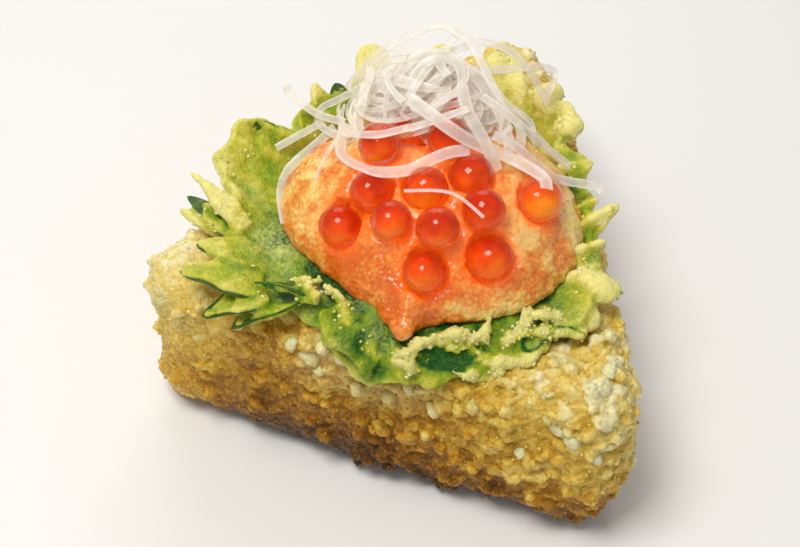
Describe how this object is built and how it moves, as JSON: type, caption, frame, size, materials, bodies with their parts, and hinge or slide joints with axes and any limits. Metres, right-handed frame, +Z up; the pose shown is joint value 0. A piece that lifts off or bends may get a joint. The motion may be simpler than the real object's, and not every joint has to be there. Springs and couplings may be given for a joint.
{
  "type": "fried rice triangle with battered leaf, roe paste, salmon eggs and shredded onion",
  "caption": "Crisp triangular rice ball lying flat, topped with a battered perilla leaf, creamy roe paste, salmon eggs and a heap of shredded onion, as a piece of food.",
  "frame": {"origin": "middle of the rice triangle's flat underside", "axes": "+Z up through the thickness, +X along the straight front edge, +Y towards the triangle's point"},
  "size_m": [0.0729, 0.0749, 0.0563],
  "materials": {
    "fried_rice": "golden fried rice, uneven and grainy, with small oily glints",
    "battered_leaf": "green leaf under thin pale yellow batter, crisp and slightly oily",
    "roe_paste": "wet salmon-orange cream with fine grainy roe",
    "salmon_egg": "clear glossy orange-red, with a paler drop inside",
    "white_onion": "moist translucent white"
  },
  "bodies": {
    "root": {"rice_block": "fried_rice", "shiso_leaf": "battered_leaf", "roe_paste": "roe_paste", "salmon_egg_01": "salmon_egg", "salmon_egg_02": "salmon_egg", "salmon_egg_03": "salmon_egg", "salmon_egg_04": "salmon_egg", "salmon_egg_05": "salmon_egg", "salmon_egg_06": "salmon_egg", "salmon_egg_07": "salmon_egg", "salmon_egg_08": "salmon_egg", "salmon_egg_09": "salmon_egg", "salmon_egg_10": "salmon_egg", "salmon_egg_11": "salmon_egg", "salmon_egg_12": "salmon_egg", "salmon_egg_13": "salmon_egg", "salmon_egg_14": "salmon_egg", "salmon_egg_15": "salmon_egg", "onion_shreds": "white_onion"}
  },
  "joints": []
}
